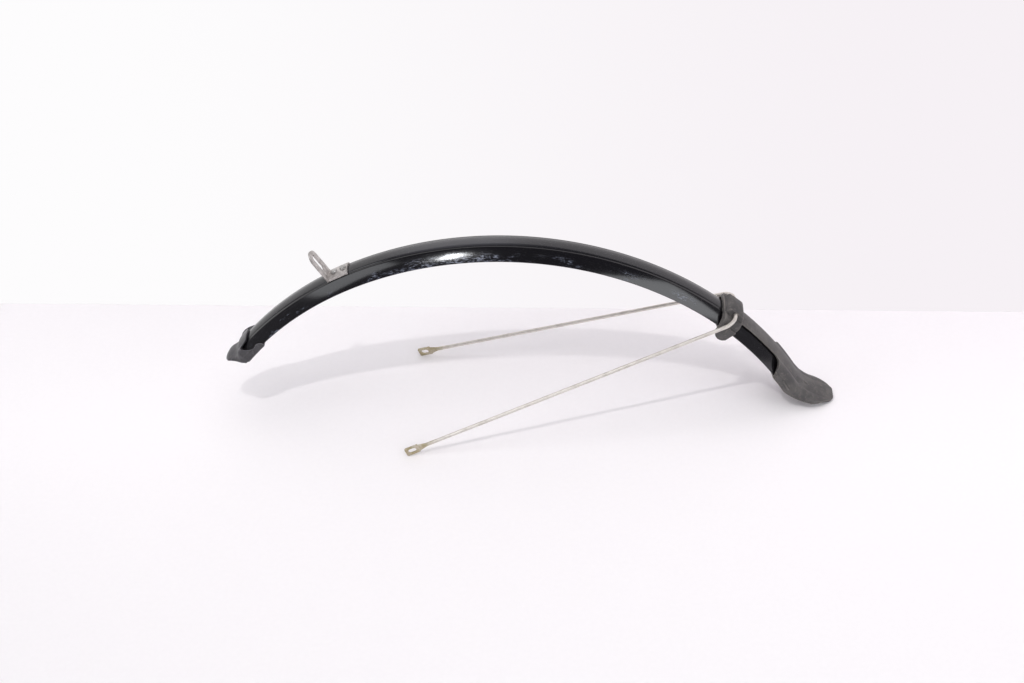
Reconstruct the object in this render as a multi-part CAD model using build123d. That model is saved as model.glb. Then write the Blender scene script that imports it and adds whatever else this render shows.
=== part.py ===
from build123d import *
import os
from math import asin, atan, atan2, cos, degrees, hypot, radians, sin, sqrt

# Front mudguard of a city bicycle. Millimetres and degrees.
# It is drawn round the wheel's centre: X rearward, Y to the side, Z up.
# An angle is measured round the wheel from its top, rearward positive.

# Blade: a formed sheet that follows the wheel
crown_radius = 360.0
blade_width = 42.0
blade_depth = 13.4
sheet = 0.9
blade_front = -49.6
blade_rear = 61.5
crown_half = 7.2
crown_rise = 1.3
bead_width = 1.8
bead_depth = 0.8
bead_step = 0.6
shoulder_drop = 7.4
wall_lean = 2.4
hem_radius = 1.3

# Rubber: how the two end pieces grip the blade, and their section
rubber_wall = 2.2
rubber_fit = 0.2
hook_wall = 1.8
hook_height = 4.0
hook_under = 1.4
wall_share = 0.6
inner_share = 0.33
shoulder_bulge = 0.32
channel_rise = 2.1
flat_rise = 0.7
flare_steps = 8
depth_lead = 0.7

# Mud flap: sleeve on the blade's rear end, then a flare that turns outward
flap_rim = 56.0
flap_radius = 60.0
flap_turn = 35.0
flap_straight = 17.0
flap_half = 23.0
flap_depth = 4.4
flap_wall = 3.2
flap_end_half = 15.5
flap_taper = 36.0
flap_corner = 8.0
tongue_half = 9.8
window_front = 4.0
window_back = 10.0
window_slant = 16.0

# Saddle of the mud flap: a strap over the blade with a hood for the stay
saddle_front = 41.7
saddle_rear = 45.9
saddle_sweep = 5.0
lip_width = 3.0
lip_height = 1.2
hood_height = 11.5
hood_half = 13.0
hood_side = 7.4
hood_top = 17.5
hood_lead = 3.0
hood_nose = 4.0
hood_back = 8.0
ear_angle = 44.3
ear_width = 18.0
ear_drop = 25.0

# Front tip: a short cap with a small upturned nose
tip_ear = 44.8
tip_rim = 49.2
tip_tongue = 12.0
tip_notch_side = 10.0
tip_wall_run = 14.5
tip_wall_side = 21.0
tip_ear_side = 24.7
tip_radius = 10.0
tip_turns = (-34.0, 70.0, -30.0)
tip_straight = 6.5
tip_slant = 14.0
tip_half = 18.0
tip_depth = 5.0
tip_wall = 3.2
tip_end_half = 14.0
tip_taper = 26.0
tip_corner = 7.0

# Wire stay: one wire through the hood, with a slotted eye on each leg
wire_diameter = 4.0
wire_fit = 0.3
tunnel_angle = 43.9
tunnel_floor = 2.0
stay_reach = 364.0
stay_spread = 161.5
stay_clear = 25.6
bend_radius = 14.0
eye_width = 10.0
eye_thick = 1.8
eye_web = 3.0
eye_slot_width = 5.5
eye_slot_length = 9.0
eye_corner = 1.5
neck_length = 9.0

# Fork bracket: a slotted tab on a foot, held by two rivets
bracket_angle = -27.8
bracket_foot = 25.0
bracket_width = 18.0
bracket_height = 34.5
bracket_thick = 2.0
bracket_seat = 0.05
bracket_slot_width = 6.5
bracket_slot_length = 20.0
bracket_slot_web = 5.0
rivet_diameter = 4.0
rivet_fit = 0.1
rivet_spacing = 11.0
rivet_head = 7.5
rivet_head_height = 2.0
rivet_head_round = 1.6
rivet_tail = 6.5
rivet_tail_height = 1.2
rivet_tail_fit = 0.35

# Sizes that follow from those above
blade_half = blade_width / 2
jacket = rubber_fit + rubber_wall
channel_half = blade_half + jacket
channel_depth = jacket + blade_depth + hook_under
hook_inner = blade_half - 2 * hem_radius - rubber_fit
tunnel_height = rubber_fit + tunnel_floor + wire_diameter / 2 + wire_fit
saddle_middle = (saddle_front + saddle_rear) / 2
crown_dome = (crown_half**2 + crown_rise**2) / (2 * crown_rise)


def mix(first, last, share):
    return first + (last - first) * share


def eased(share):
    """The share with a soft start and a soft end."""
    return share * share * (3 - 2 * share)


def to_angle(length):
    """Angle round the wheel of a length along the crown."""
    return degrees(length / crown_radius)


def tangent(angle):
    return Vector(cos(radians(angle)), 0, -sin(radians(angle)))


def outward(angle):
    return Vector(sin(radians(angle)), 0, cos(radians(angle)))


def section(angle):
    """Plane through the wheel's axis: x to the side, y outward."""
    return Plane((0, 0, 0), x_dir=(0, 1, 0), z_dir=tangent(angle))


def crown_section(angle):
    """The same plane with its origin on the crown."""
    return Plane(outward(angle) * crown_radius, x_dir=(0, 1, 0), z_dir=tangent(angle))


def side_view(angle):
    """Plane along the blade's middle: x rearward, y outward, origin on the crown."""
    return Plane(outward(angle) * crown_radius, x_dir=tangent(angle), z_dir=(0, -1, 0))


def corner_view(angle):
    """Plane seen at 45 degrees over the near shoulder: x rearward, y up and across."""
    view = outward(angle) - Vector(0, 1, 0)
    return Plane(outward(angle) * crown_radius, x_dir=tangent(angle), z_dir=view)


def swept(face, start, end):
    """A section, drawn from the crown, taken round the wheel."""
    return revolve(section(start) * Pos(0, crown_radius) * face, Axis.Y, revolution_arc=end - start)


def both_sides(solid):
    return [solid, mirror(solid, about=Plane.XZ)]


def symmetric(edges):
    """One wire from the edges of a right half and their mirror image."""
    return Curve() + edges + [mirror(edge, about=Plane.YZ) for edge in edges]


# Blade
def blade_line():
    """Outer line of the sheet, from hem to hem."""
    crown_edge = (crown_half, -crown_rise)
    bead_bottom = (crown_half + bead_width / 2, -crown_rise - bead_depth)
    bead_edge = (crown_half + bead_width, -crown_rise - bead_step)
    wall_top = (blade_half - wall_lean, -shoulder_drop)
    wall_foot = (blade_half, hem_radius - blade_depth)
    hem_bottom = (blade_half - hem_radius, -blade_depth)
    hem_end = (blade_half - 2 * hem_radius, hem_radius - blade_depth)
    up_the_wall = (wall_top[0] - wall_foot[0], wall_top[1] - wall_foot[1])
    crown = ThreePointArc((-crown_half, -crown_rise), (0, 0), crown_edge)
    right = [
        ThreePointArc(crown_edge, bead_bottom, bead_edge),
        TangentArc(wall_top, bead_edge, tangent=up_the_wall),
        Line(wall_top, wall_foot),
        ThreePointArc(wall_foot, hem_bottom, hem_end),
    ]
    return Wire.combine([crown, *right, *[mirror(edge, about=Plane.YZ) for edge in right]])[0]


def sheet_face(clearance=0.0):
    """Section of the sheet, grown all round by a clearance."""
    face = make_face(offset(blade_line(), amount=sheet, side=Side.RIGHT, closed=True))
    if clearance:
        face = offset(face, amount=clearance, kind=Kind.INTERSECTION)
    return face


def blade_hollow(clearance):
    """Everything inside the blade's outer line, open towards the wheel."""
    line = offset(blade_line(), amount=clearance, side=Side.LEFT, closed=False).wire()
    first, last = line @ 0, line @ 1
    low = -blade_depth - ear_drop
    skirt = Polyline(first, (first.X, low), (last.X, low), last)
    return make_face(Curve() + line.edges() + skirt.edges())


def rivet_holes(radius):
    depth = 2 * (bracket_thick + sheet + rivet_head)
    holes = []
    for angle in rivet_angles:
        place = Pos(outward(angle) * crown_radius) * Rot(0, angle, 0)
        holes.append(place * Cylinder(radius, depth))
    return holes


foot_middle = bracket_angle + to_angle(bracket_foot / 2 + bracket_thick)
rivet_angles = [foot_middle + to_angle(side * rivet_spacing / 2) for side in (-1, 1)]
blade = swept(sheet_face(), blade_front, blade_rear)
blade -= rivet_holes(rivet_diameter / 2 + rivet_fit)


# Rubber sections, drawn from their own top
def channel_line(half, depth, inset):
    """Right half of a channel's line: wall, shoulder and half the crown's width."""
    fullness = min(1.0, depth / channel_depth)
    foot = (half - inset, -depth)
    wall_top = (half - wall_lean * fullness - inset, -wall_share * depth - inner_share * inset)
    crown_edge = (half / 2, -mix(flat_rise, channel_rise, fullness) - inset)
    bulge = shoulder_bulge * (crown_edge[1] - wall_top[1])
    middle_side = (wall_top[0] + crown_edge[0]) / 2 + bulge * fullness
    middle = (middle_side, (wall_top[1] + crown_edge[1]) / 2 + bulge)
    return foot, [Line(foot, wall_top), ThreePointArc(wall_top, middle, crown_edge)], crown_edge


def crown_arc(crown_edge, height):
    return ThreePointArc((-crown_edge[0], crown_edge[1]), (0, height), crown_edge)


def channel(half, depth, wall):
    """Section of a rubber channel of one thickness."""
    outer_foot, outer, outer_edge = channel_line(half, depth, 0)
    inner_foot, inner, inner_edge = channel_line(half, depth, wall)
    sides = symmetric([*outer, *inner, Line(outer_foot, inner_foot)])
    return make_face(sides + crown_arc(outer_edge, 0) + crown_arc(inner_edge, -wall))


def channel_outline(half, depth):
    """The same section without its hollow."""
    foot, outer, edge = channel_line(half, depth, 0)
    return make_face(symmetric(outer) + crown_arc(edge, 0) + Line((-foot[0], foot[1]), foot))


def turning_line(radius, turns, straight):
    """Side view of a flare: arcs that turn one after the other, then a straight run."""
    line = Curve()
    place, heading = Vector(0, 0), Vector(1, 0)
    for turn in turns:
        arc = JernArc(place, heading, radius, turn)
        place, heading = arc @ 1, arc % 1
        line += arc
    line += Line(place, place + heading * straight)
    return line.wire()


def flare(angle, line, half, depth, wall):
    """Channel that leaves the blade's end along a line and flattens, with where it ends."""
    stations = []
    for step in range(flare_steps + 1):
        share = step / flare_steps
        spot, heading = line @ share, line % share
        place = outward(angle) * (crown_radius + jacket + spot.Y) + tangent(angle) * spot.X
        bend = degrees(atan2(max(0.0, heading.Y), heading.X))
        plane = Plane(place, x_dir=(0, 1, 0), z_dir=tangent(angle - bend))
        side = mix(channel_half, half, eased(share))
        face = channel(side, mix(channel_depth, depth, eased(share**depth_lead)), wall)
        stations.append(plane * face)
    return loft(stations), place


def rounded_end(solid, place, angle, half, taper, corner):
    """The flare trimmed, square to an angle, to a plan that narrows to a rounded end."""
    wide = channel_half + lip_height
    back = -crown_radius / 2
    side = Spline((-taper, wide), (-corner, half), tangents=[(1, 0), (corner, -corner / 2)])
    round_corner = TangentArc(side @ 1, (0, half - corner), tangent=side % 1)
    right = [Line((back, wide), side @ 0), side, round_corner]
    ends = [Line((back, wide), (back, -wide)), Line(round_corner @ 1, (0, corner - half))]
    plan = make_face(Curve() + right + [mirror(edge, about=Plane.XZ) for edge in right] + ends)
    end = Plane(place, x_dir=tangent(angle), z_dir=outward(angle))
    return solid & extrude(end * plan, amount=crown_radius / 2, both=True)


def sleeve(start, end):
    """Rubber round the outside of the blade."""
    outer = Pos(0, jacket) * channel_outline(channel_half, channel_depth)
    return swept(outer, start, end) - swept(blade_hollow(rubber_fit), start - 1, end + 1)


def hooks(start, end):
    """Lips inside the blade's hems that hold the rubber on."""
    inner = hook_inner - hook_wall
    low, high = -blade_depth - hook_under, hook_height - blade_depth
    outline = Polyline((inner, low), (hook_inner, low), (hook_inner, high), (inner, high), close=True)
    return both_sides(swept(make_face(outline), start, end))


# Mud flap
def window():
    """Opening in the near side between the saddle and the sleeve's slanted rim."""
    middle = (saddle_rear + flap_rim) / 2
    span = crown_radius * radians(flap_rim - saddle_rear)
    top = -(tongue_half + crown_rise + bead_step) / sqrt(2)
    sag = (span / 2) ** 2 / (2 * crown_radius * sqrt(2))
    low = -channel_half - channel_depth
    front, rear, foot = (-span / 2, top - sag), (span / 2, top - sag), (span / 2 + window_slant, low)
    edge = ThreePointArc(front, (0, top), rear)
    frame = Polyline(rear, foot, (-span / 2, low), front)
    face = make_face(Curve() + edge + frame.edges())
    corners = face.vertices().sort_by(Axis.Y)[-2:].sort_by(Axis.X)
    face = fillet(corners[1], window_back)
    face = fillet(face.vertices().sort_by(Axis.X)[:2].sort_by(Axis.Y)[-1], window_front)
    return extrude(corner_view(middle) * face, amount=channel_half * 2, both=True)


def saddle_reach(setback):
    """Everything behind the saddle's curved front edge, or behind a line set back from it."""
    wide = 2 * channel_half
    back = crown_radius / 2
    edge = ThreePointArc((saddle_sweep, -channel_half), (0, 0), (saddle_sweep, channel_half))
    far_side = [edge @ 1, (saddle_sweep, wide), (back, wide)]
    near_side = [(back, -wide), (saddle_sweep, -wide), edge @ 0]
    frame = Polyline(*far_side, *near_side)
    face = Pos(setback, 0) * make_face(Curve() + edge + frame.edges())
    out = outward(saddle_front)
    plan = Plane(out * crown_radius, x_dir=tangent(saddle_front), z_dir=out)
    return extrude(plan * face, amount=back, both=True)


def hood():
    """Hump on the crown that covers the wire where it crosses the blade."""
    length = crown_radius * radians(saddle_rear - saddle_front)
    front, back = lip_width - length / 2, length / 2
    low = -blade_depth / 2
    ridge_end = (front + hood_top, hood_height)
    slope = [(front, jacket), (front + hood_lead, hood_height), ridge_end, (back, jacket)]
    profile = make_face(Polyline((front, low), *slope, (back, low), close=True))
    top_corners = profile.vertices().group_by(Axis.Y)[-1].sort_by(Axis.X)
    profile = fillet(top_corners[1], hood_back)
    profile = fillet(profile.vertices().group_by(Axis.Y)[-1].sort_by(Axis.X)[0], hood_nose)
    arch = ThreePointArc((-hood_half, hood_side), (0, hood_height), (hood_half, hood_side))
    sides = Polyline(arch @ 0, (-hood_half, low), (hood_half, low), arch @ 1)
    across = make_face(Curve() + arch + sides.edges())
    ridge = extrude(side_view(saddle_middle) * profile, amount=hood_half, both=True)
    return ridge & extrude(crown_section(saddle_middle) * across, amount=length, both=True)


def ear():
    """Rounded lobe of the saddle that hangs below the near edge of the blade."""
    radius = ear_width / 2
    length = ear_drop - shoulder_drop - radius
    lobe = Pos(0, radius - ear_drop) * Circle(radius)
    stem = Pos(0, -shoulder_drop - length / 2) * Rectangle(ear_width, length)
    plate = extrude(side_view(ear_angle) * (lobe + stem), amount=channel_half)
    return plate - Box(4 * crown_radius, 2 * (hook_inner - hook_wall), 4 * crown_radius)


def mud_flap_solid():
    end = blade_rear + to_angle(rubber_fit)
    lip_outline = channel_outline(channel_half + lip_height, channel_depth + lip_height)
    lip = swept(Pos(0, jacket + lip_height) * lip_outline, saddle_front - 1, saddle_rear)
    solid = sleeve(saddle_front - 1, end) + (lip - saddle_reach(lip_width))
    solid &= saddle_reach(0)
    solid += [hood(), *both_sides(ear())]
    solid -= swept(blade_hollow(rubber_fit), saddle_front - 1, end)
    solid -= both_sides(window())
    solid += hooks(flap_rim + to_angle(window_slant / 2), end)
    solid += [hook & saddle_reach(0) for hook in hooks(saddle_front, saddle_rear)]
    line = turning_line(flap_radius, [flap_turn], flap_straight)
    flap, place = flare(end, line, flap_half, flap_depth, flap_wall)
    solid += rounded_end(flap, place, end - flap_turn, flap_end_half, flap_taper, flap_corner)
    tunnel = Cylinder(wire_diameter / 2 + wire_fit, 4 * channel_half, rotation=(90, 0, 0))
    return solid - Pos(tunnel_centre) * tunnel


tunnel_centre = outward(tunnel_angle) * (crown_radius + tunnel_height)
mud_flap = mud_flap_solid()


# Front tip, drawn at the rear and mirrored to the front
def tip_cut():
    """What is cut off the near side of the tip's sleeve: a tongue on the crown, a notch, an ear."""
    reach = crown_radius * radians(tip_rim - tip_ear)
    tongue, notch = (-tip_tongue, jacket), (0, -tip_notch_side)
    wall, ear_top = (-tip_wall_run, -tip_wall_side), (-reach, -tip_ear_side)
    rim = Spline(tongue, notch, wall, ear_top, tangents=[(0, -1), (-1, -1)])
    back = -reach * 2
    frame = Polyline(ear_top, (back, -tip_ear_side), (back, jacket), tongue)
    face = make_face(Curve() + rim + frame.edges())
    return extrude(corner_view(tip_rim) * face, amount=channel_half * 2, both=True)


def front_tip_solid():
    end = -blade_front + to_angle(rubber_fit)
    solid = sleeve(tip_ear, end)
    for cut in both_sides(tip_cut()):
        solid -= cut
    solid += hooks(tip_ear, end)
    line = turning_line(tip_radius, tip_turns, tip_straight)
    nose, place = flare(end, line, tip_half, tip_depth, tip_wall)
    solid += rounded_end(nose, place, end + tip_slant, tip_end_half, tip_taper, tip_corner)
    return mirror(solid, about=Plane.YZ)


front_tip = front_tip_solid()

# Wire stay: the legs' slope lets both eyes and the mud flap stand on one floor
floor = mud_flap.bounding_box().min.Z
eye_end = eye_slot_length / 2 + eye_web
splay = atan((stay_spread / 2 - stay_clear) / stay_reach)
corner_reach = stay_reach + (eye_end - eye_corner) * cos(splay)
corner_half = eye_width / 2 - eye_corner
corner_height = tunnel_centre.Z - floor - eye_corner
slope = asin(corner_height / hypot(corner_reach, corner_half)) - atan2(corner_half, corner_reach)
along_leg = Vector(-cos(slope), 0, -sin(slope))
above_leg = Vector(-sin(slope), 0, cos(slope))


def near_leg():
    """Plane at the near eye: origin in its slot, x along the leg, z across the flat."""
    direction = along_leg * cos(splay) - Vector(0, 1, 0) * sin(splay)
    centre = tunnel_centre + along_leg * stay_reach - Vector(0, stay_spread / 2, 0)
    return Plane(centre, x_dir=direction, z_dir=direction.cross(above_leg))


def eye():
    """Flattened end of the near leg with its slot, and where the round wire ends."""
    plane = near_leg()
    flat = fillet(Rectangle(2 * eye_end, eye_width).vertices().sort_by(Axis.X)[-2:], eye_corner)
    plate = extrude(plane * flat, amount=eye_thick / 2, both=True)
    wire_end = plane.from_local_coords((-eye_end - neck_length, 0))
    flat_end = plane.from_local_coords((eye_corner - eye_end, 0))
    across_wire = Plane(wire_end, x_dir=plane.y_dir, z_dir=plane.x_dir)
    across_flat = Plane(flat_end, x_dir=plane.y_dir, z_dir=plane.x_dir)
    squeezed = across_flat * Ellipse(eye_width / 2, eye_thick / 2)
    neck = loft([across_wire * Circle(wire_diameter / 2), squeezed])
    slot = SlotOverall(eye_slot_length, eye_slot_width)
    return plate + neck - extrude(plane * slot, amount=wire_diameter, both=True), wire_end


def wire_stay_solid():
    near_eye, near_end = eye()
    side = Vector(0, stay_clear, 0)
    far_end = Vector(near_end.X, -near_end.Y, near_end.Z)
    corners = near_end, tunnel_centre - side, tunnel_centre + side, far_end
    path = FilletPolyline(*corners, radius=bend_radius)
    wire = sweep(Plane(path @ 0, z_dir=path % 0) * Circle(wire_diameter / 2), path)
    return wire + both_sides(near_eye)


wire_stay = wire_stay_solid()


# Fork bracket and its rivets
def crown_strip_arc(height):
    """Line across the bracket's foot, bent to the crown, at a height above it."""
    radius = crown_dome + height
    half = bracket_width / 2
    side = height - radius + sqrt(radius**2 - half**2)
    return ThreePointArc((-half, side), (0, height), (half, side))


def bracket_foot_solid():
    lower, upper = crown_strip_arc(bracket_seat), crown_strip_arc(bracket_seat + bracket_thick)
    ends = [Line(lower @ 0, upper @ 0), Line(lower @ 1, upper @ 1)]
    strip = make_face(Curve() + lower + upper + ends)
    return swept(strip, bracket_angle, bracket_angle + to_angle(bracket_foot))


def fork_bracket_solid():
    half = bracket_width / 2
    low = (crown_strip_arc(bracket_seat) @ 0).Y
    tab_height = bracket_height - half - low
    tab = Pos(0, low + tab_height / 2) * Rectangle(bracket_width, tab_height)
    tab += Pos(0, bracket_height - half) * Circle(half)
    slot_middle = bracket_height - bracket_slot_web - bracket_slot_length / 2
    tab -= Pos(0, slot_middle) * SlotOverall(bracket_slot_length, bracket_slot_width, rotation=90)
    solid = bracket_foot_solid() + extrude(crown_section(bracket_angle) * tab, amount=bracket_thick)
    foot_end = bracket_angle + to_angle(bracket_foot)
    solid -= swept(blade_hollow(bracket_seat), bracket_angle - 1, foot_end + 1)
    return solid - rivet_holes(rivet_diameter / 2 + rivet_fit)


def rivet(angle):
    """Shank through foot and sheet, a domed head outside and a flat tail inside."""
    seat = crown_radius + bracket_seat + bracket_thick
    tail_top = crown_radius - sheet - rivet_tail_fit
    tail_bottom = tail_top - rivet_tail_height
    shank = extrude(Circle(rivet_diameter / 2), amount=seat - tail_bottom)
    head = Pos(0, 0, seat - tail_bottom) * extrude(Circle(rivet_head / 2), amount=rivet_head_height)
    head = fillet(head.edges().sort_by(Axis.Z)[-1], rivet_head_round)
    tail = extrude(Circle(rivet_tail / 2), amount=rivet_tail_height)
    base = Plane(outward(angle) * tail_bottom, x_dir=(0, 1, 0), z_dir=outward(angle))
    return base * (shank + head + tail)


fork_bracket = fork_bracket_solid()
bracket_rivets = Compound([rivet(angle) for angle in rivet_angles])

# Stand it on the floor, centred along its length
nodes = {
    "mudguard_blade": blade,
    "front_tip": front_tip,
    "mud_flap": mud_flap,
    "wire_stay": wire_stay,
    "fork_bracket": fork_bracket,
    "bracket_rivets": bracket_rivets,
}
rear_end = mud_flap.bounding_box().max.X
front_end = front_tip.bounding_box().min.X
stand = Pos(-(rear_end + front_end) / 2, 0, -floor)
os.makedirs("parts", exist_ok=True)
for name, solid in nodes.items():
    export_step(stand * solid, f"parts/{name}.step")
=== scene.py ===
# %% [markdown]
# # A bicycle mudguard, piece by piece
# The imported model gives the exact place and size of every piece, so the first step loads it as a
# fixed frame. Everything made below is in metres in that frame: X runs rearward, Y away from the
# camera and Z up. The box round the bare model is kept, to compare with the dressed one at the end.

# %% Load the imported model
from math import atan2, cos, degrees, pi, radians, sin

import bpy
from mathutils import Matrix, Vector


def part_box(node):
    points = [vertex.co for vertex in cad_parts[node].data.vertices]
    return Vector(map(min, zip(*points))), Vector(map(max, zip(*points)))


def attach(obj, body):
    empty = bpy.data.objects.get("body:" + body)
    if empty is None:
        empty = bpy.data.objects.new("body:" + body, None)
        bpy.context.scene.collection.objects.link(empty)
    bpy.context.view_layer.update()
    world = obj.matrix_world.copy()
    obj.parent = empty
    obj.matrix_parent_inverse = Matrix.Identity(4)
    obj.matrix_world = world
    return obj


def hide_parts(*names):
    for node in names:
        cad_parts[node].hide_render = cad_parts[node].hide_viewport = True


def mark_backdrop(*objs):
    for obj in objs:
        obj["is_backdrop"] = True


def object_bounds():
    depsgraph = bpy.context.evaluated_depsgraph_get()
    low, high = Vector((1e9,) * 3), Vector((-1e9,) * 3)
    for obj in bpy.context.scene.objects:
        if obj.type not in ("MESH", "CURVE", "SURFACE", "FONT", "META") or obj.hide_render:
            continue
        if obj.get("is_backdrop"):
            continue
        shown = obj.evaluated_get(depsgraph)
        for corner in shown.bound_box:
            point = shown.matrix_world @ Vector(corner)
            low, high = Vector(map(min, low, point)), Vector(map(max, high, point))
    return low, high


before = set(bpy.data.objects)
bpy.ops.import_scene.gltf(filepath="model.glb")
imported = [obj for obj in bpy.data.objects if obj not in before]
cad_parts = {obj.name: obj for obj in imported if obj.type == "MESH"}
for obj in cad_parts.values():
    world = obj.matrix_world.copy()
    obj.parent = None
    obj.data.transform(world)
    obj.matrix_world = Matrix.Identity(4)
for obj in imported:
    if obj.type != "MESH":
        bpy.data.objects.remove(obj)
cad_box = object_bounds()
mm = 0.001
scene = bpy.context.scene
print("nodes:", sorted(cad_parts))
print("box in mm:", [[round(value / mm, 1) for value in corner] for corner in cad_box])

# %% [markdown]
# ## The camera
# A camera is a place, a direction and a lens. These were found by matching the drawn outline of the
# solids with the photograph: the camera stands above and in front, looks down by about 40 degrees
# and is held a little crooked, which is why the roll isn't zero.

# %% Camera
yaw, pitch, roll = radians(-6.08), radians(40.18), radians(-5.32)
camera_place = Vector((0.13177, -1.37711, 1.25612))
film_width, picture_width, focal_pixels = 36, 1024, 1700
zenith = Vector((0, 0, 1))
level = Vector((cos(yaw), -sin(yaw), 0))
ahead = Vector((sin(yaw), cos(yaw), 0))
look = ahead * cos(pitch) - zenith * sin(pitch)
upright = ahead * sin(pitch) + zenith * cos(pitch)
right = level * cos(roll) + upright * sin(roll)
up = upright * cos(roll) - level * sin(roll)
camera = bpy.data.objects.new("camera", bpy.data.cameras.new("camera"))
scene.collection.objects.link(camera)
camera.data.sensor_width = film_width
camera.data.lens = film_width * focal_pixels / picture_width
turned = Matrix((right, up, -look)).transposed().to_4x4()
camera.matrix_world = Matrix.Translation(camera_place) @ turned
scene.camera = camera
print("lens", round(camera.data.lens, 2), "mm, looking down", round(degrees(pitch), 1), "degrees")

# %% [markdown]
# ## Tools for the shaders
# A material is a small network of nodes. Built by hand, each sum would need a node and two links,
# so this class wraps a node's output and lets it be added and multiplied like a number.


# %% Sums with sockets
class Socket:
    """Output of a node that can be used in sums like a number."""

    def __init__(self, shader, plug):
        self.shader = shader
        self.plug = plug

    def math(self, operation, *values):
        inputs = dict(enumerate((self, *values)))
        return self.shader.node("Math", {"operation": operation}, inputs)

    def __add__(self, other):
        return self.math("ADD", other)

    def __sub__(self, other):
        return self.math("SUBTRACT", other)

    def __rsub__(self, other):
        return self.math("MULTIPLY_ADD", -1.0, other)

    def __mul__(self, other):
        return self.math("MULTIPLY", other)

    __radd__ = __add__
    __rmul__ = __mul__

    def step(self, low, high):
        """0 at low, 1 at high and a soft change between, whichever of the two is larger."""
        settings = {"interpolation_type": "SMOOTHSTEP"}
        return self.shader.node("MapRange", settings, {0: self, 1: low, 2: high})


print("a socket can be added, taken away, multiplied and stepped")

# %% [markdown]
# The network itself belongs to a material or to the world. One method makes any node from its type,
# its settings, and a value or a link for each input. The others are short names for the nodes that
# come up again and again.


# %% Shader networks
class Shader:
    """A material's or the world's node tree, emptied."""

    def __init__(self, owner):
        owner.use_nodes = True
        self.owner = owner
        self.tree = owner.node_tree
        self.tree.nodes.clear()

    def node(self, kind, settings=None, inputs=None, output=0):
        made = self.tree.nodes.new("ShaderNode" + kind)
        for name, value in (settings or {}).items():
            setattr(made, name, value)
        for key, value in (inputs or {}).items():
            if isinstance(value, Socket):
                self.tree.links.new(value.plug, made.inputs[key])
            else:
                made.inputs[key].default_value = value
        return Socket(self, made.outputs[output]) if made.outputs else None

    def place(self):
        return self.node("TexCoord", output="Object")

    def axes(self, vector):
        parts = self.node("SeparateXYZ", None, {0: vector}).plug.node
        return [Socket(self, plug) for plug in parts.outputs]

    def vector(self, x, y, z):
        return self.node("CombineXYZ", None, {0: x, 1: y, 2: z})

    def noise(self, vector, scale, detail=3.0, roughness=0.55):
        inputs = {"Vector": vector, "Scale": scale, "Detail": detail, "Roughness": roughness}
        return self.node("TexNoise", None, inputs)

    def blend(self, share, first, last):
        return self.node("Mix", {"data_type": "RGBA"}, {0: share, 6: first, 7: last}, 2)

    def bump(self, height, distance, strength):
        inputs = {"Height": height, "Distance": distance, "Strength": strength}
        return self.node("Bump", None, inputs)

    def surface(self, kind, inputs):
        """Join a shader node to the material's output and return the material."""
        self.node("OutputMaterial", None, {0: self.node(kind, None, inputs)})
        return self.owner


def rgb(red, green, blue):
    """A colour as a picture shows it, 0 to 255, as linear light."""
    shown = [value / 255 for value in (red, green, blue)]
    return [(v / 12.92 if v < 0.04 else ((v + 0.055) / 1.055) ** 2.4) for v in shown] + [1.0]


print("middle grey as linear light:", round(rgb(128, 128, 128)[0], 3))

# %% [markdown]
# ## Floor and backdrop
# The mudguard stands on white paper in front of a pale wall. Both are plain planes that are stage,
# not object. The wall's foot isn't square to the camera, so it is laid through two points that were
# measured in the photograph.

# %% Floor and backdrop
floor_level = -0.3 * mm
bpy.ops.object.select_all(action="DESELECT")
bpy.ops.mesh.primitive_plane_add(size=8, location=(0, 0, floor_level))
floor = bpy.context.object
floor.name = "floor"
left_foot = Vector((-0.430, 0.1854, floor_level))
right_foot = Vector((0.3944, 0.1409, floor_level))
along_wall = (right_foot - left_foot).normalized()
wall_length, wall_height = 5, 0.62
bpy.ops.mesh.primitive_plane_add(size=1)
wall = bpy.context.object
wall.name = "backdrop"
wall_turn = Matrix((along_wall, zenith, along_wall.cross(zenith))).transposed()
wall_middle = (left_foot + right_foot) / 2 + zenith * (wall_height / 2)
wall_size = Matrix.Diagonal((wall_length, wall_height, 1, 1))
wall.matrix_world = Matrix.Translation(wall_middle) @ wall_turn.to_4x4() @ wall_size
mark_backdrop(floor, wall)
print("wall stands", round(wall_middle.y / mm), "mm behind the middle of the object")

# %% [markdown]
# Paper is nearly white with a trace of fibre. The camera and shiny things see the wall's colour as
# it is written, and all other light meets a matt board, so the wall looks right without lighting
# the object. Seen from behind, the wall lets everything through, so that it never hides the object.

# %% Paper and wall
paper = Shader(bpy.data.materials.new("white_paper"))
fibres = paper.noise(paper.place(), 220.0, 2.0)
tone = paper.blend(fibres, rgb(246, 243, 244), rgb(250, 247, 248))
floor.data.materials.append(paper.surface("BsdfPrincipled", {"Base Color": tone, "Roughness": 0.9}))

board = Shader(bpy.data.materials.new("pale_wall"))
reach = board.axes(board.place())[0]
# The wall's tone darkens slightly towards the right, which is painted shade.
tone = board.blend(reach.step(-0.09, 0.09), rgb(253, 252, 253), rgb(246, 241, 245))
matt = board.node("BsdfPrincipled", None, {"Base Color": tone, "Roughness": 0.9})
unlit = {"Base Color": rgb(0, 0, 0), "Specular IOR Level": 0.0, "Emission Strength": 1.0}
as_written = board.node("BsdfPrincipled", None, {**unlit, "Emission Color": tone})
seen = board.node("LightPath", output="Is Camera Ray")
seen += board.node("LightPath", output="Is Glossy Ray")
seen += board.node("LightPath", output="Is Transmission Ray")
front = board.node("MixShader", None, {0: seen, 1: matt, 2: as_written})
behind = board.node("NewGeometry", output="Backfacing")
clear = board.node("BsdfTransparent")
wall.data.materials.append(board.surface("MixShader", {0: behind, 1: front, 2: clear}))
print("stage materials:", paper.owner.name, "and", board.owner.name)

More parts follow.
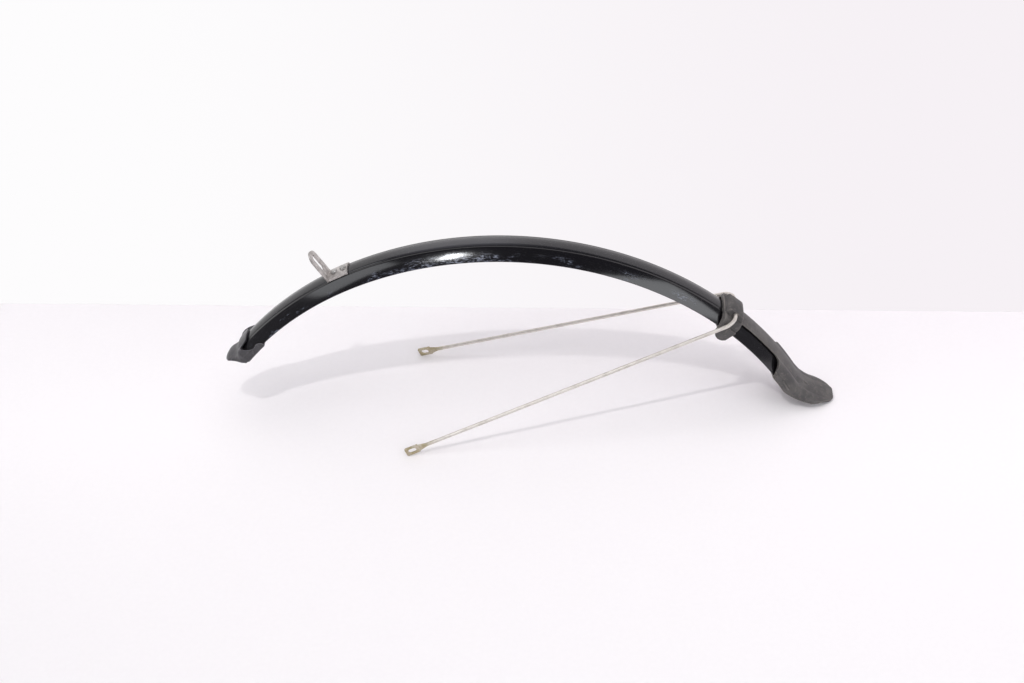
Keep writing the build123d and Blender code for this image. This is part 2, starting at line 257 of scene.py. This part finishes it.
# %% [markdown]
# ## Light
# Soft light comes from a pale room that is bright near the horizon and darker overhead, which is
# what the black paint mirrors. Two soft boxes at the sides stand for windows: they are the grey
# patches on the near side of the blade. One small lamp above makes the faint hard shadow. The
# glare on the crown comes from a patch that only reflections show, so that its size can follow the
# photograph while the shadow stays crisp.

# %% Light
middle = Vector((0, 0, 0.15))
daylight, warm_white = (0.95, 0.97, 1.0), (1.0, 0.99, 0.98)


def soft_box(name, size, place, radiance, mirrored=True):
    """A rectangular lamp that faces the middle. What the paint mirrors has the tint of daylight."""
    lamp = bpy.data.lights.new(name, "AREA")
    lamp.shape = "RECTANGLE"
    lamp.size, lamp.size_y = size
    lamp.energy = radiance * pi * size[0] * size[1]
    lamp.color = daylight if mirrored else warm_white
    box = bpy.data.objects.new(name, lamp)
    scene.collection.objects.link(box)
    box.location = place
    box.rotation_euler = (middle - Vector(place)).to_track_quat("-Z", "Y").to_euler()
    box.visible_camera = False
    box.visible_glossy = mirrored
    return box


room = bpy.data.worlds.new("room")
scene.world = room
sky = Shader(room)
height = sky.axes(sky.node("TexCoord", output="Generated"))[2]
tone = sky.blend(height.step(0.05, 0.8), rgb(135, 133, 139), rgb(88, 87, 94))
sky.node("OutputWorld", None, {0: sky.node("Background", None, {"Color": tone})})
soft_box("window_left", (0.90, 0.90), (-1.52, -0.41, 1.38), 2.0)
soft_box("window_right", (1.38, 0.89), (1.435, -1.082, 1.027), 2.7)
soft_box("front", (1.6, 1.0), (-0.3, -2.04, 0.97), 0.8)
soft_box("ceiling", (3.0, 2.4), (0.0, -0.3, 2.3), 1.32, mirrored=False)
soft_box("lamp", (0.05, 0.05), (-0.259, -0.808, 1.911), 900.0, mirrored=False)
glare = soft_box("glare", (0.16, 0.30), (-0.573, -0.980, 1.883), 70.0)
glare.visible_diffuse = False
scene.view_settings.view_transform = "Standard"
print("lamps:", [light.name for light in bpy.data.lights])

# %% [markdown]
# ## Working on a mesh
# Each new piece is modelled as one would at the screen: select it, change it in edit mode, apply
# its modifiers. A piece that starts from a solid of the frame takes a copy of its mesh with the
# doubled corner points merged, so that the surface is one skin.


# %% Mesh helpers
def only(piece):
    """Make a piece the one thing that is selected."""
    bpy.ops.object.select_all(action="DESELECT")
    piece.select_set(True)
    bpy.context.view_layer.objects.active = piece


def new_piece(name, mesh):
    piece = bpy.data.objects.new(name, mesh)
    scene.collection.objects.link(piece)
    only(piece)
    return piece


def cleaned(piece):
    """Merge doubled points and turn all faces outward."""
    bpy.ops.object.mode_set(mode="EDIT")
    bpy.ops.mesh.select_all(action="SELECT")
    bpy.ops.mesh.remove_doubles(threshold=0.001 * mm)
    bpy.ops.mesh.normals_make_consistent(inside=False)
    bpy.ops.object.mode_set(mode="OBJECT")
    return piece


def copy_of(node, name):
    """A merged copy of a solid of the frame, to replace it."""
    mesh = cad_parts[node].data.copy()
    mesh.materials.clear()
    piece = new_piece(name, mesh)
    bpy.ops.mesh.customdata_custom_splitnormals_clear()
    return cleaned(piece)


def modify(piece, kind, **settings):
    """Add a modifier, set it and apply it."""
    only(piece)
    modifier = piece.modifiers.new(kind.lower(), kind)
    for name, value in settings.items():
        setattr(modifier, name, value)
    bpy.ops.object.modifier_apply(modifier=modifier.name)


def fit(piece, node, body, material):
    """Dress a piece and let it stand for a solid of the frame."""
    piece.data.materials.append(material)
    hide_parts(node)
    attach(piece, body)
    triangles = sum(len(face.vertices) - 2 for face in piece.data.polygons)
    print(piece.name, "stands for", node, "with", triangles, "triangles")


print("solids to copy or replace:", len(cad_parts))

# %% [markdown]
# ## The blade
# A mudguard blade is a strip of thin steel. Rollers give it its section, a crown between two small
# beads, nearly flat sides and a folded hem at each edge, and then bend it round the wheel. Many
# sections could be lofted one after another, but here they are all alike, so the way of the rollers
# is followed: one section is drawn, from arcs through three points each, and bent later.

# %% Blade section
crown_radius, sheet = 360 * mm, 0.9 * mm
blade_front, blade_rear = radians(-49.6), radians(61.5)
blade_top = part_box("mudguard_blade")[1]
wheel = Vector((blade_top[0] - crown_radius * sin(blade_rear), 0, blade_top[2] - crown_radius))


def arc(first, through, last, steps):
    """Points on the circle through three points of the section, the first one left out."""
    (ax, ay), (bx, by), (cx, cy) = first, through, last
    area = 2 * (ax * (by - cy) + bx * (cy - ay) + cx * (ay - by))
    a, b, c = ax * ax + ay * ay, bx * bx + by * by, cx * cx + cy * cy
    x = (a * (by - cy) + b * (cy - ay) + c * (ay - by)) / area
    y = (a * (cx - bx) + b * (ax - cx) + c * (bx - ax)) / area
    start = atan2(ay - y, ax - x)
    turn = (atan2(cy - y, cx - x) - start) % (2 * pi)
    if (atan2(by - y, bx - x) - start) % (2 * pi) > turn:
        turn -= 2 * pi
    radius = ((ax - x) ** 2 + (ay - y) ** 2) ** 0.5
    angles = [start + turn * step / steps for step in range(1, steps + 1)]
    return [(x + radius * cos(angle), y + radius * sin(angle)) for angle in angles]


# Half the section in millimetres: how far to the side, and how far out from the crown.
crown_top, crown_edge, bead_edge = (0, 0), (7.2, -1.3), (9.6, -2.1)
side_foot, hem_end = (21.0, -12.1), (18.4, -12.1)
half = arc(crown_top, (3.6, -0.317), crown_edge, 10)
half += arc(crown_edge, (8.1, -1.85), bead_edge, 6)
half += arc(bead_edge, (15.63, -6.72), side_foot, 14)
half += arc(side_foot, (19.7, -13.4), hem_end, 10)
section = [(-side, out) for side, out in reversed(half)] + [crown_top] + half
print(len(section), "points from hem to hem")

# %% [markdown]
# One point is extruded from hem to hem at the front end of the blade, then that line is spun round
# the wheel's centre. Solidify gives the sheet its thickness and grows it inward, so the outside
# keeps its size.


# %% Blade
def on_blade(side, out):
    """A point of the section, in millimetres, at the front end of the blade."""
    reach = crown_radius + out * mm
    return wheel + Vector((sin(blade_front) * reach, side * mm, cos(blade_front) * reach))


sweep, spin_steps = blade_rear - blade_front, 160
mesh = bpy.data.meshes.new("painted_blade")
mesh.from_pydata([on_blade(*section[0])], [], [])
blade = new_piece("painted_blade", mesh)
bpy.ops.object.mode_set(mode="EDIT")
bpy.ops.mesh.select_all(action="SELECT")
for first, last in zip(section, section[1:]):
    move = {"value": on_blade(*last) - on_blade(*first)}
    bpy.ops.mesh.extrude_region_move(TRANSFORM_OT_translate=move)
bpy.ops.mesh.select_all(action="SELECT")
bpy.ops.mesh.spin(steps=spin_steps, angle=sweep, center=wheel, axis=(0, -1, 0))
bpy.ops.object.mode_set(mode="OBJECT")
cleaned(blade)
crown_face = max(blade.data.polygons, key=lambda face: face.center.z)
if crown_face.normal.z < 0:
    blade.data.flip_normals()
modify(blade, "SOLIDIFY", thickness=sheet, offset=-1, use_even_offset=True)
bpy.ops.object.shade_smooth_by_angle(angle=radians(40))
print("blade from", [round(v / mm, 1) for v in blade.bound_box[0]])

# %% [markdown]
# ## Black enamel
# The paint is a thick glossy black. One black with one gloss would look like new plastic. Years of
# use have left fine scratches along its length, pale scuffs where it rubbed against other things,
# and dust. The middle of the crown is lightened, partly as dust and partly as painted sheen, and
# the hem gets a painted purple-grey highlight. These marks follow the wheel, so they are drawn as
# noise in three distances: along the crown, to the side and outward, each stretched by its own
# amount.

# %% Marks on the paint
enamel = Shader(bpy.data.materials.new("black_enamel"))
x, y, z = enamel.axes(enamel.place())
across, high = x - wheel.x, z - wheel.z
angle = across.math("ARCTAN2", high)
run = angle * crown_radius
rise = (across * across + high * high).math("SQRT") - crown_radius
sunk = rise * -1.0


def marks(along, sideways, outward, detail, roughness=0.55):
    """Noise that is finer the larger the numbers are for its three directions."""
    stretched = enamel.vector(run * along, y * sideways, rise * outward)
    return enamel.noise(stretched, 1.0, detail, roughness)


scratches = marks(40.0, 1100.0, 1100.0, 2.0).step(0.66, 0.74)
patch = marks(30.0, 60.0, 120.0, 4.0)
rubbed = marks(220.0, 700.0, 700.0, 6.0, 0.75)
waves = marks(55.0, 90.0, 90.0, 1.0)
# The zone where the scuffs are heaviest and the painted sheen on the crown is brightest.
worn_and_sheen_zone = (angle + 0.08).math("ABSOLUTE").step(0.26, 0.06)
near_side = sunk.step(4.0 * mm, 9.0 * mm) * (y * -1.0).step(8.0 * mm, 10.0 * mm)
scuff = (patch + worn_and_sheen_zone * 0.14).step(0.53, 0.68) * rubbed.step(0.47, 0.66)
scuff = scuff * near_side * angle.step(0.72, 0.60)
specks = enamel.noise(enamel.place(), 900.0, 2.0).step(0.70, 0.76) * patch.step(0.35, 0.6)
# Painted highlight: the hem is tinted a lighter purple-grey.
hem = sunk.step(11.9 * mm, 12.8 * mm)
# The middle of the crown is lightened, partly dust and partly painted sheen.
crown_dust_and_sheen = y.math("ABSOLUTE").step(9.5 * mm, 5.0 * mm) * (0.25 + worn_and_sheen_zone * 0.75)
print("marks made by", len(enamel.tree.nodes), "nodes")

# %% [markdown]
# The marks are laid over the black one after another. Most of them also change the gloss: scratched
# and scuffed paint is duller. A slow wave in the surface makes the reflections run unevenly, as
# they do on thin rolled steel.

# %% Black enamel
tone = enamel.blend(scratches * 0.10 * patch.step(0.4, 0.7), rgb(13, 12, 15), rgb(150, 150, 160))
# Crown lightened: dust and painted sheen.
tone = enamel.blend(crown_dust_and_sheen * 0.22, tone, rgb(132, 132, 138))
tone = enamel.blend(specks * 0.35, tone, rgb(150, 146, 142))
# Painted highlight along the hem.
tone = enamel.blend(hem * 0.5, tone, rgb(58, 40, 60))
tone = enamel.blend(scuff * 0.6, tone, rgb(170, 178, 200))
rough = 0.11 + patch * 0.06 + scratches * 0.10 + scuff * 0.24 + specks * 0.3
bumps = enamel.bump(waves + rubbed * 0.04, 0.25 * mm, 0.20)
inputs = {"Base Color": tone, "Roughness": rough, "Normal": bumps, "IOR": 1.6}
black_enamel = enamel.surface("BsdfPrincipled", inputs)
fit(blade, "mudguard_blade", "guard", black_enamel)

# %% [markdown]
# ## Rubber ends
# The mud flap and the front tip are moulded rubber, pushed over the ends of the blade. Rubber from
# a mould has no sharp edges. They could be bevelled edge by edge, but a fine voxel remesh and a few
# rounds of smoothing round them all at once. Thin bars joined to the flap before the remesh become
# its raised ridges.


# %% Rubber ends
def add_bar(piece, first, last, radius):
    """Join a thin bar between two points, in millimetres, to a piece."""
    first, last = Vector(first) * mm, Vector(last) * mm
    bpy.ops.object.select_all(action="DESELECT")
    turn = (last - first).to_track_quat("Z", "Y").to_euler()
    size = {"vertices": 12, "radius": radius * mm, "depth": (last - first).length}
    bpy.ops.mesh.primitive_cylinder_add(location=(first + last) / 2, rotation=turn, **size)
    piece.select_set(True)
    bpy.context.view_layer.objects.active = piece
    bpy.ops.object.join()


def moulded(piece, voxel, rounds):
    """Make a crisp solid soft-edged."""
    modify(piece, "REMESH", mode="VOXEL", voxel_size=voxel, use_smooth_shade=True)
    modify(piece, "SMOOTH", factor=0.5, iterations=rounds)


flap_ridges = [
    ((287.5, -5.5, 33.2), (298.9, -2.4, 20.0), 0.9),
    ((271.3, -21.2, 40.5), (276.9, -21.8, 28.0), 0.9),
    ((271.9, -5.3, 59.0), (283.3, -1.1, 40.8), 0.6),
    ((263.5, -21.1, 53.5), (264.7, -21.8, 48.3), 1.2),
]
flap = copy_of("mud_flap", "moulded_flap")
for first, last, radius in flap_ridges:
    add_bar(flap, first, last, radius)
moulded(flap, 0.6 * mm, 2)
tip = copy_of("front_tip", "moulded_tip")
moulded(tip, 0.5 * mm, 3)
print("flap", len(flap.data.polygons), "faces, tip", len(tip.data.polygons), "faces")

# %% [markdown]
# Some places are rounder still: the hump over the wire, the step where the flap begins and the nose
# of the tip. Their points are picked by where they lie round the wheel, in degrees from the top,
# and by how far they stand out from the crown, then smoothed.


# %% Round places
def soften(piece, angles, least, rounds):
    """Smooth the points between two angles that stand out at least so far from the crown."""
    only(piece)
    bpy.ops.object.mode_set(mode="EDIT")
    bpy.ops.mesh.select_mode(type="VERT")
    bpy.ops.mesh.select_all(action="DESELECT")
    bpy.ops.object.mode_set(mode="OBJECT")
    for point in piece.data.vertices:
        across, high = point.co.x - wheel.x, point.co.z - wheel.z
        out = (across * across + high * high) ** 0.5 - crown_radius
        point.select = angles[0] < degrees(atan2(across, high)) < angles[1] and out > least
    bpy.ops.object.mode_set(mode="EDIT")
    bpy.ops.mesh.vertices_smooth(factor=0.5, repeat=rounds)
    bpy.ops.object.mode_set(mode="OBJECT")


hump, flap_step = (39, 50), (52, 64)
nose, nose_end = (-60, -49.8), (-60, -50.6)
whole_depth = -20 * mm
soften(flap, hump, 7.6 * mm, 40)
soften(flap, flap_step, 1.0 * mm, 80)
soften(tip, nose, whole_depth, 30)
soften(tip, nose_end, whole_depth, 60)
print("lowest point of the tip", round(min(corner[2] for corner in tip.bound_box) / mm, 1), "mm up")

# %% [markdown]
# Edges of rubber rub pale, and they are lightened further as a painted highlight; grooves are
# darkened as painted shade. Painting that by hand would take long, so the operator for dirty vertex
# colours measures how far each point stands out, and the material reads the result as an attribute.


# %% Edges and grooves: wear, painted highlight and painted shade
def store_wear_and_shading(piece):
    """Store how far each point stands out: 0 in a groove, 0.02 on the flat, over 0.1 on an edge."""
    colours = piece.data.color_attributes.new("wear", "FLOAT_COLOR", "POINT")
    piece.data.color_attributes.active_color = colours
    only(piece)
    bpy.ops.paint.vertex_color_dirt(blur_strength=0.6, blur_iterations=2, dirt_angle=0)


for piece in (flap, tip):
    store_wear_and_shading(piece)
    values = sorted(point.color[0] for point in piece.data.color_attributes["wear"].data)
    sample = [round(values[int(len(values) * share)], 2) for share in (0.02, 0.25, 0.5, 0.75, 0.98)]
    print(piece.name, "wear from groove to edge:", sample)

# %% [markdown]
# ## Rubber
# Old rubber turns from black to a dull grey. It has the fine grain of its mould and pale dust in
# smears. Its grooves are darkened as painted shade, and its edges are lighter, partly rubbed and
# partly a painted highlight. Both ends share one recipe: the flap is dull and pale with dust, the
# tip darker and more satin.


# %% Rubber material
def rubber(name, dark, pale, dust, gloss):
    shader = Shader(bpy.data.materials.new(name))
    place = shader.place()
    wear = shader.axes(shader.node("Attribute", {"attribute_name": "wear"}, output="Vector"))[0]
    clouds = shader.noise(place, 70.0, 5.0, 0.6)
    grain = shader.noise(place, 1500.0, 3.0, 0.6)
    smear = shader.noise(place, 260.0, 4.0, 0.65)
    smeared = smear.step(0.52, 0.72)
    tone = shader.blend(clouds.step(0.35, 0.68), dark, pale)
    tone = shader.blend(smeared * 0.45, tone, dust)
    # Painted shade: grooves are darkened.
    tone = shader.blend(wear.step(0.012, 0.0) * 0.45, tone, rgb(24, 23, 23))
    # Edges lighter: partly rubbed wear, partly painted highlight.
    tone = shader.blend(wear.step(0.06, 0.16) * 0.7, tone, dust)
    tone = shader.blend(grain.step(0.66, 0.74) * 0.3, tone, dust)
    rough = gloss + clouds * 0.12 + smeared * 0.1
    bumps = shader.bump(grain + smear * 0.8, 0.12 * mm, 0.35)
    inputs = {"Base Color": tone, "Roughness": rough, "Normal": bumps}
    return shader.surface("BsdfPrincipled", inputs)


flap_rubber = rubber("dusty_rubber", rgb(70, 68, 68), rgb(92, 89, 87), rgb(128, 121, 115), 0.48)
tip_rubber = rubber("satin_rubber", rgb(52, 51, 54), rgb(70, 68, 72), rgb(120, 118, 122), 0.26)
fit(flap, "mud_flap", "guard", flap_rubber)
fit(tip, "front_tip", "guard", tip_rubber)

# %% [markdown]
# ## The wire stay
# The stay is one length of zinc-plated wire, bent to a long U. Both ends are pressed flat in a die
# and punched with a slot. A bevelled curve could give the wire but not the pressed ends, so the
# exact solid is copied and only shaded smooth. The plating has gone dull and yellowish where the
# wire was pressed.

# %% Wire stay
crease = radians(35)
stay = copy_of("wire_stay", "zinc_stay")
bpy.ops.object.shade_smooth_by_angle(angle=crease)
plate = Shader(bpy.data.materials.new("zinc_wire"))
place = plate.place()
forward = plate.axes(place)[0] * -1.0
pressed = forward.step(92 * mm, 112 * mm)
clouds = plate.noise(place, 90.0, 5.0, 0.65)
grain = plate.noise(place, 900.0, 3.0, 0.6)
pits = grain.step(0.62, 0.72)
tone = plate.blend(clouds.step(0.4, 0.7), rgb(224, 218, 211), rgb(202, 195, 187))
tone = plate.blend(pressed * clouds.step(0.2, 0.6), tone, rgb(176, 164, 132))
tone = plate.blend(pits * 0.25, tone, rgb(150, 142, 132))
rough = 0.32 + clouds * 0.08 + pressed * 0.16 + pits * 0.08
bumps = plate.bump(grain + clouds, 0.02 * mm, 0.3)
inputs = {"Base Color": tone, "Metallic": 0.65, "Roughness": rough, "Normal": bumps}
zinc_wire = plate.surface("BsdfPrincipled", inputs)
fit(stay, "wire_stay", "stay", zinc_wire)

# %% [markdown]
# ## The fork bracket and its rivets
# A bent steel tab holds the guard on the fork, and two rivets hold its foot on the blade. The tab
# is cut from sheet and tumbled in a drum, which rounds its edges slightly. It could be folded from
# a flat plane, but the solids have the exact shape, so a copy with a small bevel is enough.

# %% Bracket and rivets
tab = copy_of("fork_bracket", "steel_tab")
modify(tab, "BEVEL", width=0.3 * mm, segments=2, limit_method="ANGLE", angle_limit=radians(50))
bpy.ops.object.shade_smooth_by_angle(angle=crease)
rivets = copy_of("bracket_rivets", "steel_rivets")
bpy.ops.object.shade_smooth_by_angle(angle=crease)
print("tab", len(tab.data.polygons), "faces, rivets", len(rivets.data.polygons), "faces")

# %% [markdown]
# The steel has lost its shine. Clouds of lighter and darker grey and brown pits break up the
# reflections. The rivets are a little smoother than the tab, because a press formed their heads.


# %% Dull steel
def dull_steel(name, bright, dark, gloss):
    shader = Shader(bpy.data.materials.new(name))
    place = shader.place()
    clouds = shader.noise(place, 160.0, 5.0, 0.65)
    grain = shader.noise(place, 1400.0, 3.0, 0.6)
    tone = shader.blend(clouds.step(0.35, 0.7), bright, dark)
    tone = shader.blend(grain.step(0.62, 0.74) * 0.5, tone, rgb(92, 80, 70))
    rough = gloss + clouds * 0.2
    bumps = shader.bump(grain + clouds, 0.05 * mm, 0.3)
    inputs = {"Base Color": tone, "Metallic": 0.7, "Roughness": rough, "Normal": bumps}
    return shader.surface("BsdfPrincipled", inputs)


bracket_steel = dull_steel("dull_steel", rgb(204, 199, 196), rgb(164, 159, 156), 0.34)
rivet_steel = dull_steel("rivet_steel", rgb(196, 194, 192), rgb(158, 155, 152), 0.26)
fit(tab, "fork_bracket", "guard", bracket_steel)
fit(rivets, "bracket_rivets", "guard", rivet_steel)

# %% [markdown]
# ## Size
# Dressing the model must not change its size, so the box of the dressed model is printed beside the
# box of the bare one.

# %% Size and finish
sizes = {"cad": [list(corner) for corner in cad_box]}
sizes["visual"] = [list(corner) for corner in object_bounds()]
for name, box in sizes.items():
    print(name, [[round(value / mm, 2) for value in corner] for corner in box])
